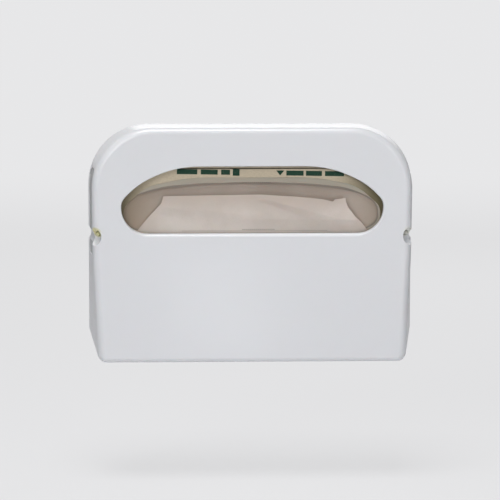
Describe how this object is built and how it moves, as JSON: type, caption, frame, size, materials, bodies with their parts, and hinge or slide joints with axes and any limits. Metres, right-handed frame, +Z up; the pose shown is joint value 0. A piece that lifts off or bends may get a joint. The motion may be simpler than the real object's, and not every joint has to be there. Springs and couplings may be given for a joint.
{
  "type": "toilet seat cover dispenser",
  "caption": "Wall-mounted dispenser for half-folded toilet seat covers: a tapered white housing whose window gives the next paper cover, with a cover that swings down.",
  "frame": {"origin": "centre of the rectangle of wall screw holes, in the plane of the wall", "axes": "+X to the right as a user faces the dispenser, +Y into the wall, +Z up"},
  "size_m": [0.406, 0.083, 0.2914],
  "materials": {
    "rear_housing": "white gloss moulding",
    "front_cover": "white gloss moulding",
    "refill_carton": "plain light card with a dark green print",
    "seat_cover_stack": "soft white tissue",
    "first_seat_cover": "soft white tissue"
  },
  "bodies": {
    "housing": {"rear_housing": "rear_housing", "refill_carton": "refill_carton", "seat_cover_stack": "seat_cover_stack", "first_seat_cover": "first_seat_cover"},
    "cover": {"front_cover": "front_cover"}
  },
  "joints": [
    {"name": "cover_hinge", "type": "hinge", "parent": "housing", "child": "cover", "pos_m": [0, -0.028, -0.11824], "axis": [1, 0, 0], "range_deg": [0, 80]}
  ]
}
